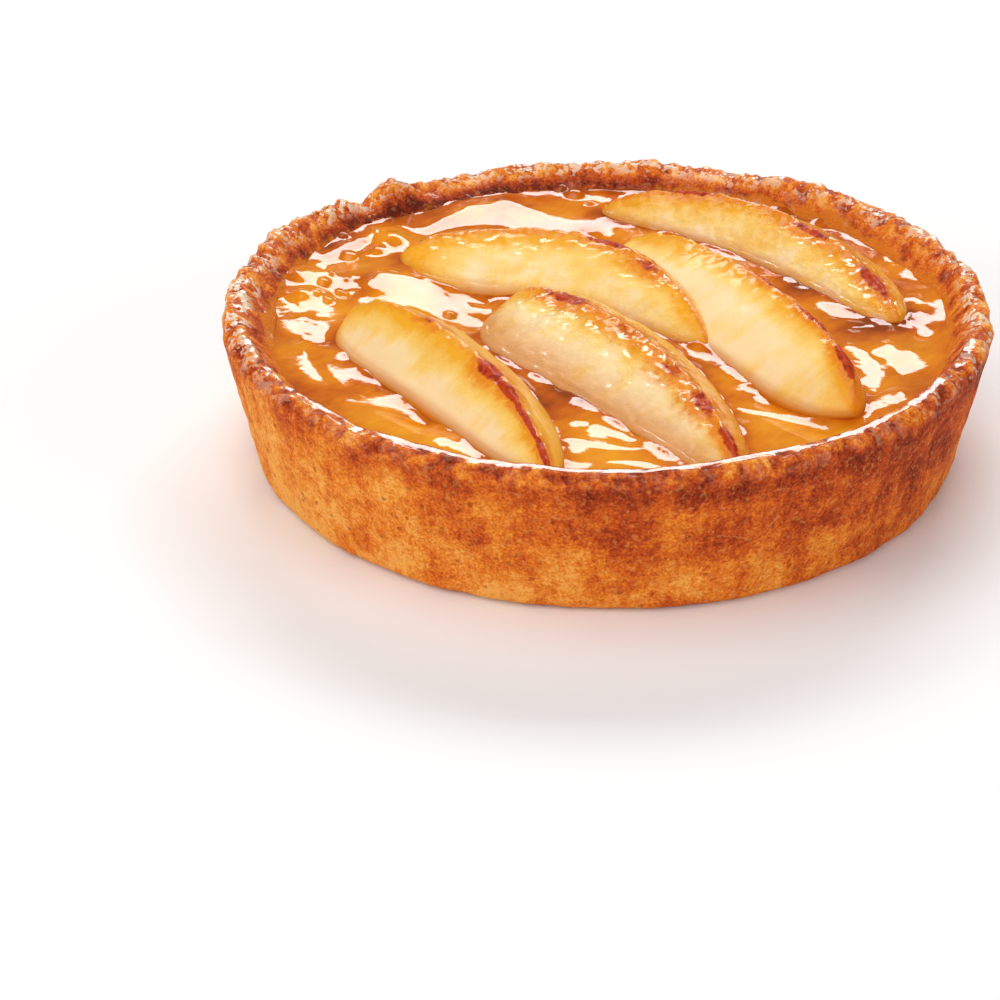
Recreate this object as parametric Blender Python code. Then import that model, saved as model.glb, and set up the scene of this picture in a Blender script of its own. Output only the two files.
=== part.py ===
"""French apple tart: a short pastry case, a set amber filling and five baked apple wedges.

Metres, +Z up. The origin is the centre of the flat base, and an azimuth is counted
anticlockwise from +X. Every piece keeps GAP to the pieces beside it.
"""
import math
from dataclasses import dataclass

import bmesh
import bpy
from mathutils import Vector, noise

MM = 0.001

# Driving dimensions
TOP_RADIUS = 52.4 * MM
BASE_RADIUS = 48.9 * MM
CREST_HEIGHT = 20.7 * MM
RIM_WIDTH = 3.6 * MM
FLOOR_THICKNESS = 3.4 * MM
FILLING_LEVEL = 17.8 * MM
WEDGE_SINK = 3.2 * MM
GAP = 0.3 * MM
WEDGE_ROOM = 0.45 * MM

# Sizes worked out from them
FOOT_RADIUS = 1.6 * MM
WALL_BELLY = 0.2 * MM
RIM_HALF = RIM_WIDTH / 2
RIM_CENTRE = TOP_RADIUS - RIM_HALF
RIM_ROUND = 1.7 * MM
LIP_RADIUS = 46.9 * MM
LIP_HEIGHT = FILLING_LEVEL + 0.1 * MM
WELL_RADIUS_TOP = 45.9 * MM
WELL_RADIUS_BASE = 44.9 * MM
WELL_TURN_HEIGHT = 15.0 * MM
WELL_FILLET = 1.8 * MM
WELL_BOW = 0.15 * MM
FILLING_SAG = 0.25 * MM
STILL_EDGE = (1 * MM, 7 * MM)

# How finely things are cut
TURN_STEPS = 100
FILLING_STEPS = 80
FILLING_RINGS = 11
WALL_CUTS = 5
WEDGE_RINGS = 19

# The uneven rim: azimuth and half-width in degrees, then height in metres
SIDE_RISE = 0.9 * MM
RIM_SWELLS = (
    (90, 80, 0.45 * MM),
    (9, 5, 0.4 * MM),
    (32, 2.5, 0.5 * MM),
    (54, 6, 0.5 * MM),
    (69, 5, -0.5 * MM),
    (82, 4, 0.45 * MM),
    (102, 7, -0.3 * MM),
    (119, 8, -1.05 * MM),
    (131, 3.5, 1.0 * MM),
    (137.5, 3, -1.25 * MM),
    (146, 5, 0.35 * MM),
    (161, 4, 0.5 * MM),
    (171, 5, -0.3 * MM),
    (206, 8, -0.4 * MM),
    (232, 5, -0.5 * MM),
    (291, 7, 0.3 * MM),
)

# Random lumps: the size of one, then how far it stands out
RIM_LUMPS = (4.5 * MM, 0.45 * MM)
WALL_LUMPS = (9 * MM, 0.35 * MM)
WALL_CRUMBS = (3.6 * MM, 0.22 * MM)
FILLING_SWELLS = (13 * MM, 0.9 * MM)
FILLING_RIPPLES = (6 * MM, 0.45 * MM)
APPLE_DIMPLES = (5 * MM, 0.35 * MM)

CRUST_COLOUR = (0.62, 0.22, 0.045, 1.0)
FILLING_COLOUR = (0.80, 0.36, 0.05, 1.0)
APPLE_COLOUR = (0.93, 0.68, 0.28, 1.0)


@dataclass(frozen=True)
class Wedge:
    """One apple wedge, given by the plan of its ridge and its reach to both sides of it."""

    name: str
    start: tuple[float, float]
    end: tuple[float, float]
    bow: float
    inner: float
    outer: float
    rise: float
    start_blunt: float
    end_blunt: float
    inner_taper: float
    outer_taper: float
    rise_taper: float


# Lengths are in millimetres, and a taper is the share gained from the middle to the end
WEDGES = (
    Wedge("apple_wedge_1", (-35.3, -3.0), (-6.0, -48.2), 4.2, 7.8, 7.3, 6.0, 3.6, 1.9, -0.13, -0.20, -0.15),
    Wedge("apple_wedge_2", (-12.8, 4.5), (17.1, -48.6), 4.8, 11.0, 7.6, 5.3, 4.6, 1.6, -0.35, -0.35, 0.06),
    Wedge("apple_wedge_3", (-30.0, 19.0), (13.8, -9.6), 12.6, 11.4, 6.2, 5.3, 4.9, 1.6, -0.14, -0.20, 0.14),
    Wedge("apple_wedge_4", (3.8, 25.3), (31.9, -28.9), 4.0, 12.3, 4.4, 6.2, 2.9, 6.8, -0.35, -0.10, 0.13),
    Wedge("apple_wedge_5", (-0.6, 38.5), (40.4, -0.4), 9.0, 7.2, 6.8, 5.2, 2.0, 1.9, 0.18, 0.08, -0.28),
)


def clear_scene():
    """Remove what a new Blender file starts with."""
    for obj in list(bpy.context.scene.objects):
        bpy.data.objects.remove(obj, do_unlink=True)


def make_material(name, colour, roughness):
    """A plain Principled material."""
    material = bpy.data.materials.new(name)
    material.use_nodes = True
    shader = material.node_tree.nodes["Principled BSDF"]
    shader.inputs["Base Color"].default_value = colour
    shader.inputs["Roughness"].default_value = roughness
    shader.inputs["Metallic"].default_value = 0.0
    material.diffuse_color = colour
    return material


def finish_object(name, bm, material):
    """Turn a bmesh into a named, smooth-shaded object in the scene."""
    mesh = bpy.data.meshes.new(name)
    bm.to_mesh(mesh)
    bm.free()
    mesh.shade_smooth()
    mesh.set_sharp_from_angle(angle=math.radians(50))
    mesh.materials.append(material)
    obj = bpy.data.objects.new(name, mesh)
    bpy.context.scene.collection.objects.link(obj)
    return obj


def arc(centre_r, centre_z, radius_r, radius_z, start_deg, end_deg, points):
    """Points of an elliptical arc in the (radius, height) plane."""
    step = (end_deg - start_deg) / (points - 1)
    angles = [math.radians(start_deg + step * i) for i in range(points)]
    return [(centre_r + radius_r * math.cos(a), centre_z + radius_z * math.sin(a)) for a in angles]


def line(start, end, points):
    """Evenly spaced points strictly between two (radius, height) points."""
    shares = [(i + 1) / (points + 1) for i in range(points)]
    return [(start[0] + (end[0] - start[0]) * s, start[1] + (end[1] - start[1]) * s) for s in shares]


def inner_wall(gap):
    """The case's inner wall from the lip down to the fillet's foot, moved inwards by gap."""
    lip = (LIP_RADIUS - gap, LIP_HEIGHT)
    top = (WELL_RADIUS_TOP - gap, WELL_TURN_HEIGHT)
    bend = [(r - WELL_BOW, z) for r, z in line(lip, top, 1)]
    fillet = arc(WELL_RADIUS_BASE - WELL_FILLET, FLOOR_THICKNESS + WELL_FILLET,
                 WELL_FILLET - gap, WELL_FILLET - gap, 0, -90, 3)
    return [lip, *bend, top, *fillet]


def case_profile():
    """The pastry's section, from the middle of the base out, over the rim and back inside."""
    foot = arc(BASE_RADIUS - FOOT_RADIUS, FOOT_RADIUS, FOOT_RADIUS, FOOT_RADIUS, -90, -10, 4)
    crest = arc(RIM_CENTRE, CREST_HEIGHT - RIM_ROUND, RIM_HALF, RIM_ROUND, 8, 140, 7)
    wall = line(foot[-1], crest[0], WALL_CUTS)
    belly = [WALL_BELLY * math.sin(math.pi * (i + 1) / (WALL_CUTS + 1)) for i in range(WALL_CUTS)]
    wall = [(r + swell, z) for (r, z), swell in zip(wall, belly)]
    slope = line(crest[-1], (LIP_RADIUS, LIP_HEIGHT), 2)
    return [(0.0, 0.0), *foot, *wall, *crest, *slope, *inner_wall(0.0), (0.0, FLOOR_THICKNESS)]


def turn(profile, steps):
    """Spin a (radius, height) profile that starts and ends on the axis into a closed body."""
    bm = bmesh.new()
    verts = [bm.verts.new((r, 0.0, z)) for r, z in profile]
    edges = [bm.edges.new(pair) for pair in zip(verts, verts[1:])]
    bmesh.ops.spin(bm, geom=verts + edges, cent=(0, 0, 0), axis=(0, 0, 1),
                   angle=math.tau, steps=steps, use_merge=True)
    bmesh.ops.remove_doubles(bm, verts=bm.verts[:], dist=0.01 * MM)
    bmesh.ops.recalc_face_normals(bm, faces=bm.faces[:])
    return bm


def smoothstep(low, high, value):
    """0 below low, 1 above high and an even ease between them."""
    share = min(max((value - low) / (high - low), 0.0), 1.0)
    return share * share * (3 - 2 * share)


def rim_rise(azimuth):
    """How far the baked rim stands above or below its even height at an azimuth in radians."""
    rise = SIDE_RISE * math.cos(azimuth) ** 2
    for centre, half_width, height in RIM_SWELLS:
        away = (math.degrees(azimuth) - centre + 180) % 360 - 180
        rise += height * math.exp(-(away / half_width) ** 2)
    return rise


def relief(point, size, amount):
    """A smooth random height with bumps of a given size."""
    return amount * noise.noise(Vector(point) / size)


def roughen_case(bm):
    """Give the turned case its uneven rim and rough baked wall, with the base left flat."""
    for vert in bm.verts:
        x, y, z = vert.co
        radius = math.hypot(x, y)
        if z < 0.01 * MM or radius < LIP_RADIUS - 0.01 * MM:
            continue
        out = Vector((x, y, 0.0)) / radius
        is_outside = radius > RIM_CENTRE or (radius > LIP_RADIUS + GAP and z < LIP_HEIGHT)
        high = smoothstep(LIP_HEIGHT, CREST_HEIGHT, z)
        lift = rim_rise(math.atan2(y, x)) * high
        lift += relief(vert.co, *RIM_LUMPS) * high
        push = relief(vert.co, *WALL_LUMPS) + relief(vert.co, *WALL_CRUMBS)
        if not is_outside:
            push = abs(push) * high
        vert.co += out * push + Vector((0.0, 0.0, lift))


def build_case(material):
    """The pastry case: one body from the flat base to the rough rim."""
    bm = turn(case_profile(), TURN_STEPS)
    roughen_case(bm)
    return finish_object("pastry_case", bm, material)


def well_profile(ceiling):
    """The space inside the case, less GAP, closed by a flat lid at a given height."""
    wall = inner_wall(GAP)[::-1]
    floor = (0.0, FLOOR_THICKNESS + GAP)
    return [floor, *wall, (LIP_RADIUS - GAP, ceiling), (0.0, ceiling)]


def filling_top(x, y):
    """Height of the uneven jelly surface over a point of the plan."""
    radius = math.hypot(x, y)
    swell = relief((x, y, 0.0), *FILLING_SWELLS) + relief((x, y, 7.0), *FILLING_RIPPLES)
    still, free = STILL_EDGE
    edge = smoothstep(LIP_RADIUS - still, LIP_RADIUS - free, radius)
    return FILLING_LEVEL - FILLING_SAG + swell * edge


def filling_profile():
    """The filling's section, from the middle of its underside up the wall and over its top."""
    wall = inner_wall(GAP)[::-1]
    reach = wall[-1][0]
    shares = [i / FILLING_RINGS for i in range(FILLING_RINGS + 1)]
    top = [(reach * (1 - share), FILLING_LEVEL) for share in shares]
    return [(0.0, FLOOR_THICKNESS + GAP), *wall[:-1], *top]


def wedge_section(inner, outer, rise, sink):
    """The outline of a wedge across its length, as (sideways, height) pairs about its ridge.

    It runs from the core edge up the pale cut face to the ridge, over the rounded skin side
    and back along the flat underside.
    """
    face = [(-inner - 0.1 * sink, -0.5 * sink)]
    for share in (0.0, 0.18, 0.38, 0.6, 0.82):
        roll = 0.08 * rise * math.sin(math.pi * share)
        face.append((-inner * (1 - share), rise * share + roll))
    shoulder = (0.8 * outer, 0.55 * rise)
    skin = []
    for share in (0.0, 0.17, 0.36, 0.57, 0.79, 1.0):
        rest = 1 - share
        sideways = 2 * share * rest * shoulder[0] + share * share * outer
        height = rest * rest * rise + 2 * share * rest * shoulder[1] - share * share * 0.5 * sink
        skin.append((sideways, height))
    under = [
        (outer * 0.86, -0.95 * sink),
        (outer * 0.3, -sink),
        (-inner * 0.4, -sink),
        (-inner * 0.85, -0.85 * sink),
    ]
    return face + skin + under


def wedge_mesh(wedge, room=0.0):
    """Loft the wedge's section along its bowed ridge, closed to a point at both tips.

    With some room, the body is larger by that much on every side.
    """
    start = Vector(wedge.start) * MM
    end = Vector(wedge.end) * MM
    reach = (end - start).normalized() * room
    start -= reach
    end += reach
    half = (end - start) / 2
    side = Vector((-half.y, half.x)).normalized()
    if side.x + side.y < 0:
        side.negate()
    bow = wedge.bow * MM

    def ridge(t):
        return start + half * (1 + t) + side * bow * (1 - t * t)

    bm = bmesh.new()
    rings = []
    for i in range(WEDGE_RINGS):
        t = -math.cos(math.pi * (i + 0.75) / (WEDGE_RINGS + 0.5))
        blunt = wedge.start_blunt if t < 0 else wedge.end_blunt
        swell = math.sqrt(1 - abs(t) ** blunt)
        along = (half - side * 2 * bow * t).normalized()
        across = Vector((-along.y, along.x))
        if across.dot(side) < 0:
            across.negate()
        section = wedge_section(
            (wedge.inner * MM * (1 + wedge.inner_taper * t) + room) * swell,
            (wedge.outer * MM * (1 + wedge.outer_taper * t) + room) * swell,
            (wedge.rise * MM * (1 + wedge.rise_taper * t) + room) * swell,
            (WEDGE_SINK + room) * swell,
        )
        ring = []
        for sideways, height in section:
            plan = ridge(t) + across * sideways
            ring.append(bm.verts.new((plan.x, plan.y, FILLING_LEVEL + height)))
        rings.append(ring)
    for near, far in zip(rings, rings[1:]):
        for i in range(len(near)):
            j = (i + 1) % len(near)
            bm.faces.new((near[i], near[j], far[j], far[i]))
    for ring, t in ((rings[0], -1.0), (rings[-1], 1.0)):
        tip = bm.verts.new((*ridge(t), FILLING_LEVEL))
        for i in range(len(ring)):
            bm.faces.new((ring[i], ring[(i + 1) % len(ring)], tip))
    bmesh.ops.recalc_face_normals(bm, faces=bm.faces[:])
    return bm


def dimple_wedge(bm):
    """Small hollows and swells of soft baked fruit on the part that shows."""
    for vert in bm.verts:
        if vert.co.z > FILLING_LEVEL + 0.5 * MM:
            vert.co.z += relief(vert.co, *APPLE_DIMPLES)


def hide_tool(obj):
    """Mark an object as a cutting tool that is no part of the tart."""
    obj.hide_render = True
    obj.display_type = "WIRE"


def cut(obj, tool, operation):
    """Add an exact Boolean to an object."""
    modifier = obj.modifiers.new(tool.name, "BOOLEAN")
    modifier.operation = operation
    modifier.solver = "EXACT"
    modifier.object = tool


def build_wedges(material, tool_material):
    """The five wedges and, for each, a slightly larger copy that cuts what lies against it."""
    wedges = []
    cutters = []
    for spec in WEDGES:
        bm = wedge_mesh(spec)
        dimple_wedge(bm)
        wedges.append(finish_object(spec.name, bm, material))
        cutters.append(finish_object(spec.name + "_room", wedge_mesh(spec, WEDGE_ROOM), tool_material))
        hide_tool(cutters[-1])
    return wedges, cutters


def build_filling(material, cutters):
    """The filling: wall to wall in the case, with a socket for each wedge."""
    bm = turn(filling_profile(), FILLING_STEPS)
    for vert in bm.verts:
        if vert.co.z > FILLING_LEVEL - 0.01 * MM:
            vert.co.z = filling_top(vert.co.x, vert.co.y)
    filling = finish_object("filling", bm, material)
    for cutter in cutters:
        cut(filling, cutter, "DIFFERENCE")
    return filling


def main():
    """Build the whole tart."""
    clear_scene()
    crust = make_material("baked_crust", CRUST_COLOUR, 0.6)
    jelly = make_material("amber_filling", FILLING_COLOUR, 0.2)
    apple = make_material("baked_apple", APPLE_COLOUR, 0.35)
    build_case(crust)
    wedges, cutters = build_wedges(apple, jelly)
    build_filling(jelly, cutters)

    room = finish_object("well_room", turn(well_profile(3 * CREST_HEIGHT), TURN_STEPS), jelly)
    hide_tool(room)
    first, second, third, fourth, _ = wedges
    for wedge in (first, second):
        cut(wedge, room, "INTERSECT")
    cut(first, cutters[1], "DIFFERENCE")
    cut(third, cutters[1], "DIFFERENCE")
    cut(fourth, cutters[2], "DIFFERENCE")


main()
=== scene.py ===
"""French apple tart: browned short case, wet amber filling and caramelised apple wedges."""
import itertools
import logging
import math
from dataclasses import dataclass
from enum import Enum

import bmesh
import bpy
import numpy as np
from mathutils import Matrix, Vector, noise


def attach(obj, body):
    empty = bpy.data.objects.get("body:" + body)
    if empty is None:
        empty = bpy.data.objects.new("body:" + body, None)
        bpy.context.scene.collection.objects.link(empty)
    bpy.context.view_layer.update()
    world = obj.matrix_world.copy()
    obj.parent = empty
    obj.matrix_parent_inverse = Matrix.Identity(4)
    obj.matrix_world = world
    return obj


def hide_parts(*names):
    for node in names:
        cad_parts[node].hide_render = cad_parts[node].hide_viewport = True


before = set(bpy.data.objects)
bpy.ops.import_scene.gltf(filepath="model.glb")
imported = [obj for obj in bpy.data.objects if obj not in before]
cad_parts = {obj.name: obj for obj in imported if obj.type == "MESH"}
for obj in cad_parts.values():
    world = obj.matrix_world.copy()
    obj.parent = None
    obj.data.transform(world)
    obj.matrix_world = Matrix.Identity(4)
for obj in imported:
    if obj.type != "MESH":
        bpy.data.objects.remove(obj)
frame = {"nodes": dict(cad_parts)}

log = logging.getLogger("tart")

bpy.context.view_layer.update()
MM = 0.001
BODY = "root"
WINDOW = (0.06, 0.82, 0.72)

Array = np.ndarray
Pair = tuple[Array, Array]
Mesh = bpy.types.Mesh
Point = tuple[float, float]
Triple = tuple[float, float, float]
Rows = tuple[Triple, ...]
Colour = tuple[float, float, float, float]


def srgb(*picked: float) -> Colour:
    """Turn a colour picker's values into a linear colour.

    Args:
        picked: the red, green and blue, from 0 to 255.

    Returns:
        The linear colour with an alpha of 1.
    """
    shares = [channel / 255 for channel in picked]
    linear = [s / 12.92 if s <= 0.04045 else ((s + 0.055) / 1.055) ** 2.4 for s in shares]
    return (*linear, 1.0)


def smoothstep(low: float, high: float, value: Array) -> Array:
    """Ease from 0 at low to 1 at high; with high under low it falls instead."""
    share = np.clip((value - low) / (high - low), 0.0, 1.0)
    return share * share * (3 - 2 * share)


def bell(value: Array, centre: float, half_width: float | Array) -> Array:
    """A smooth bump of height 1 about a centre."""
    return np.exp(-(((value - centre) / half_width) ** 2))


def bumps(points: Array, size: float) -> Array:
    """The same smooth random heights, between about -1 and 1, as the solids have."""
    return np.array([noise.noise(Vector(point) / size) for point in points])


@dataclass(frozen=True)
class Viewpoint:
    """The camera's place and axes, worked out from the rim and base in the photograph."""

    eye: Triple = (0.0, -0.289693, 0.151199)
    right: Triple = (0.99887297, 0.04706931, -0.00610465)
    up: Triple = (-0.01772392, 0.48921668, 0.87198217)
    ahead: Triple = (-0.0440301, 0.87089122, -0.48949957)
    lens: float = 82.59
    sensor: float = 36.0
    frame: float = 1000.0

    def plan(self, across: float, down: float, level: float) -> Array:
        """Find what a pixel of the photograph shows on a level plane.

        Args:
            across: the pixel, counted from the left.
            down: the pixel, counted from the top.
            level: the height of the plane.

        Returns:
            The place's x and y.
        """
        focus = self.lens / self.sensor * self.frame
        ray = np.array(self.ahead) + np.array(self.right) * (across - self.frame / 2) / focus
        ray += np.array(self.up) * (self.frame / 2 - down) / focus
        return np.array(self.eye[:2]) + ray[:2] * (level - self.eye[2]) / ray[2]


VIEW = Viewpoint()
SLOPE_COUNT = 256
SLOPES = np.random.default_rng(5).normal(size=(SLOPE_COUNT, 3))
SLOPES /= np.linalg.norm(SLOPES, axis=1)[:, None]
SCATTER = np.array((73856093, 19349663, 83492791))
SEED_STEP = 17.3
RIPPLE_GAIN = 1.6


def ripples(points: Array, size: float, seed: int) -> Array:
    """Fine random heights between about -1 and 1, worked out for all points at once.

    Args:
        points: places as rows of x, y and z.
        size: how large one ripple is, in metres.
        seed: picks the pattern, so that layers differ.

    Returns:
        One height for each point.
    """
    cell = points / size + SEED_STEP * seed
    base = np.floor(cell).astype(np.int64)
    part = cell - base
    fade = part**3 * (part * (part * 6 - 15) + 10)
    total = np.zeros(len(points))
    for corner in itertools.product((0, 1), repeat=3):
        mixed = ((base + corner) * SCATTER).sum(axis=1)
        slope = SLOPES[(mixed ^ (mixed >> 11)) % SLOPE_COUNT]
        weight = np.where(corner, fade, 1 - fade).prod(axis=1)
        total += weight * ((part - corner) * slope).sum(axis=1)
    return total * RIPPLE_GAIN


def layered(points: Array, layers: Rows, unit: float = MM) -> Array:
    """Sum ripples from layers of a height in the unit, a size in millimetres and a seed."""
    return sum(height * unit * ripples(points, size * MM, seed) for height, size, seed in layers)


def from_run(plan: Array, start: Array, end: Array) -> Pair:
    """Measure points of the plan against a straight run.

    Args:
        plan: the points as rows of x and y.
        start: where the run starts.
        end: where it ends.

    Returns:
        Each point's share of the way along, and how far it is from the run.
    """
    run = end - start
    share = np.clip(((plan - start) @ run) / max(run @ run, 1e-12), 0, 1)
    return share, np.linalg.norm(plan - start - share[:, None] * run, axis=1)


class Value:
    """A shader socket that takes part in Python arithmetic."""

    def __init__(self, tree: bpy.types.NodeTree, socket: bpy.types.NodeSocket) -> None:
        """Wrap an output socket of a tree."""
        self.tree = tree
        self.socket = socket

    def _math(self, operation: str, first: "Value | float", second: "Value | float") -> "Value":
        """Add one Math node.

        Args:
            operation: the node's operation.
            first: its first operand.
            second: its second operand.

        Returns:
            The node's result.
        """
        node = self.tree.nodes.new("ShaderNodeMath")
        node.operation = operation
        for socket, operand in zip(node.inputs, (first, second)):
            if isinstance(operand, Value):
                self.tree.links.new(operand.socket, socket)
            else:
                socket.default_value = operand
        return Value(self.tree, node.outputs[0])

    def __add__(self, other: "Value | float") -> "Value":
        """Sum."""
        return self._math("ADD", self, other)

    __radd__ = __add__

    def __sub__(self, other: "Value | float") -> "Value":
        """Difference."""
        return self._math("SUBTRACT", self, other)

    def __rsub__(self, other: float) -> "Value":
        """Difference from a number."""
        return self._math("SUBTRACT", other, self)

    def __mul__(self, other: "Value | float") -> "Value":
        """Product."""
        return self._math("MULTIPLY", self, other)

    __rmul__ = __mul__

    def swing(self, share: float) -> "Value":
        """A share of how far this random value is from its average of 0.5."""
        return (self - 0.5) * share

    def above(self, low: float, high: float) -> "Value":
        """Ease from 0 at low to 1 at high; with high under low it falls instead.

        Args:
            low: where the ease starts.
            high: where it ends.

        Returns:
            The eased value.
        """
        node = self.tree.nodes.new("ShaderNodeMapRange")
        node.interpolation_type = "SMOOTHSTEP"
        self.tree.links.new(self.socket, node.inputs["Value"])
        node.inputs["From Min"].default_value = low
        node.inputs["From Max"].default_value = high
        return Value(self.tree, node.outputs[0])


class Recipe:
    """Builds one material out of nodes."""

    def __init__(self, name: str) -> None:
        """Start an empty material.

        Args:
            name: the material's name.
        """
        self.material = bpy.data.materials.new(name)
        self.material.use_nodes = True
        self.tree = self.material.node_tree
        self.tree.nodes.clear()

    def node(self, kind: str, settings: dict, inputs: dict, output: str | int = 0) -> Value:
        """Add any node.

        Args:
            kind: the node's type.
            settings: its own settings.
            inputs: values or links, by socket name or number.
            output: the socket that is wanted.

        Returns:
            That socket.
        """
        node = self.tree.nodes.new(kind)
        for key, setting in settings.items():
            setattr(node, key, setting)
        for key, given in inputs.items():
            if isinstance(given, Value):
                self.tree.links.new(given.socket, node.inputs[key])
            else:
                node.inputs[key].default_value = given
        return Value(self.tree, node.outputs[output])

    def place(self) -> Value:
        """The place on the piece, in metres."""
        return self.node("ShaderNodeTexCoord", {}, {}, "Object")

    def painted(self, name: str) -> Value:
        """A number stored on the mesh under a name."""
        return self.node("ShaderNodeAttribute", {"attribute_name": name}, {}, "Fac")

    def mottle(self, size: float, detail: float = 2.0, where: Value | None = None) -> Value:
        """Soft random patches of a size in metres, about 0.5 on average."""
        where = where or self.place()
        return self.node("ShaderNodeTexNoise", {}, {"Vector": where, "Scale": 1 / size, "Detail": detail})

    def scaled(self, where: Value, scale: Triple) -> Value:
        """Coordinates multiplied by a factor for each axis."""
        return self.node("ShaderNodeVectorMath", {"operation": "MULTIPLY"}, {0: where, 1: scale})

    def stretched(self, scale: Triple, turn: float = 0.0) -> Value:
        """The place, squeezed or stretched along three axes after a turn about +Z in radians."""
        inputs = {"Vector": self.place(), "Rotation": (0, 0, turn)}
        return self.scaled(self.node("ShaderNodeMapping", {"vector_type": "POINT"}, inputs), scale)

    def mix(self, share: Value | float, base: Value | Colour, over: Value | Colour) -> Value:
        """Lay one colour over another, as much as the share says."""
        inputs = {0: share, 6: base, 7: over}
        return self.node("ShaderNodeMix", {"data_type": "RGBA"}, inputs, 2)

    def ramp(self, along: Value, stops: tuple[tuple[float, Colour], ...]) -> Value:
        """A colour that changes along a value.

        Args:
            along: the value.
            stops: places along it with their colours.

        Returns:
            The colour.
        """
        colour = self.node("ShaderNodeValToRGB", {}, {0: along})
        elements = colour.socket.node.color_ramp.elements
        while len(elements) < len(stops):
            elements.new(1.0)
        for element, (place, shade) in zip(elements, stops):
            element.position = place
            element.color = shade
        return colour

    def bump(self, height: Value, depth: float) -> Value:
        """A normal from a height between 0 and 1 that stands for a depth in metres."""
        return self.node("ShaderNodeBump", {}, {"Height": height, "Distance": depth}, "Normal")

    def finish(self, inputs: dict) -> bpy.types.Material:
        """Close the material with a Principled shader.

        Args:
            inputs: the shader's values and links by socket name.

        Returns:
            The finished material.
        """
        shader = self.node("ShaderNodeBsdfPrincipled", {}, inputs)
        surface = self.tree.nodes.new("ShaderNodeOutputMaterial").inputs["Surface"]
        self.tree.links.new(shader.socket, surface)
        return self.material


class Piece(Enum):
    """The pieces' names with their materials' names."""

    CASE = ("tart_case", "baked_crust")
    FILLING = ("tart_filling", "amber_filling")
    WEDGE = ("tart_wedge", "baked_apple")


def to_mesh(name: str, bm: bmesh.types.BMesh) -> Mesh:
    """Turn the faces outwards and make a smooth mesh.

    Args:
        name: the mesh's name.
        bm: the shape, which is freed.

    Returns:
        The mesh.
    """
    bmesh.ops.recalc_face_normals(bm, faces=bm.faces[:])
    mesh = bpy.data.meshes.new(name)
    bm.to_mesh(mesh)
    bm.free()
    mesh.shade_smooth()
    return mesh


def read_points(mesh: Mesh) -> Array:
    """Read where the mesh's vertices are.

    Args:
        mesh: the mesh.

    Returns:
        The vertices as rows of x, y and z.
    """
    flat = np.empty(len(mesh.vertices) * 3)
    mesh.vertices.foreach_get("co", flat)
    return flat.reshape(-1, 3)


def write_points(mesh: Mesh, points: Array) -> None:
    """Move the mesh's vertices."""
    mesh.vertices.foreach_set("co", points.ravel())
    mesh.update()


def paint(mesh: Mesh, name: str, numbers: Array) -> None:
    """Store one number for each vertex under a name that materials read."""
    layer = mesh.attributes.new(name, "FLOAT", "POINT")
    layer.data.foreach_set("value", np.asarray(numbers, dtype=np.float32))


def settle(mesh: Mesh, piece: Piece, node: str, suffix: str = "") -> None:
    """Put a mesh in the scene as a piece that rides with the tart.

    Args:
        mesh: the finished mesh.
        piece: which piece it is.
        node: the CAD node that it stands for.
        suffix: what is added to the name.
    """
    name, slot = piece.value
    obj = bpy.data.objects.new(name + suffix, mesh)
    bpy.context.scene.collection.objects.link(obj)
    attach(obj, BODY)
    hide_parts(node)
    log.info("%s: %d faces", obj.name, len(mesh.polygons))


def arc(centre: Point, reach: Point, start: float, end: float, step: float) -> list[Point]:
    """Points of an elliptical arc in the (radius, height) plane.

    Args:
        centre: the arc's centre.
        reach: its half-axes.
        start: the first angle in degrees.
        end: the last angle in degrees.
        step: the spacing of its points in metres.

    Returns:
        The points, ends included.
    """
    length = math.radians(abs(end - start)) * max(reach)
    count = max(2, round(length / step) + 1)
    angles = np.radians(np.linspace(start, end, count))
    return [(centre[0] + reach[0] * math.cos(a), centre[1] + reach[1] * math.sin(a)) for a in angles]


def straight(start: Point, end: Point, step: float) -> list[Point]:
    """Evenly spaced points strictly between two points.

    Args:
        start: the first point, which is left out.
        end: the last one, also left out.
        step: about how far the points are apart.

    Returns:
        The points.
    """
    count = max(2, round(math.dist(start, end) / step))
    shares = np.arange(1, count) / count
    return [(start[0] + (end[0] - start[0]) * s, start[1] + (end[1] - start[1]) * s) for s in shares]


def turned(name: str, profile: list[Point], steps: int) -> Mesh:
    """Wrap a grid round +Z, as a lathe would turn a (radius, height) profile.

    Args:
        name: the mesh's name.
        profile: points that start and end on the axis.
        steps: how many cuts there are around.

    Returns:
        The closed mesh.
    """
    bm = bmesh.new()
    rows = len(profile) - 1
    bmesh.ops.create_grid(bm, x_segments=steps, y_segments=rows, size=1.0)
    for vert in bm.verts:
        angle = math.pi * (vert.co.x + 1)
        radius, height = profile[round((vert.co.y + 1) / 2 * rows)]
        vert.co = (radius * math.cos(angle), radius * math.sin(angle), height)
    bmesh.ops.remove_doubles(bm, verts=bm.verts[:], dist=0.001 * MM)
    return to_mesh(name, bm)


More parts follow.
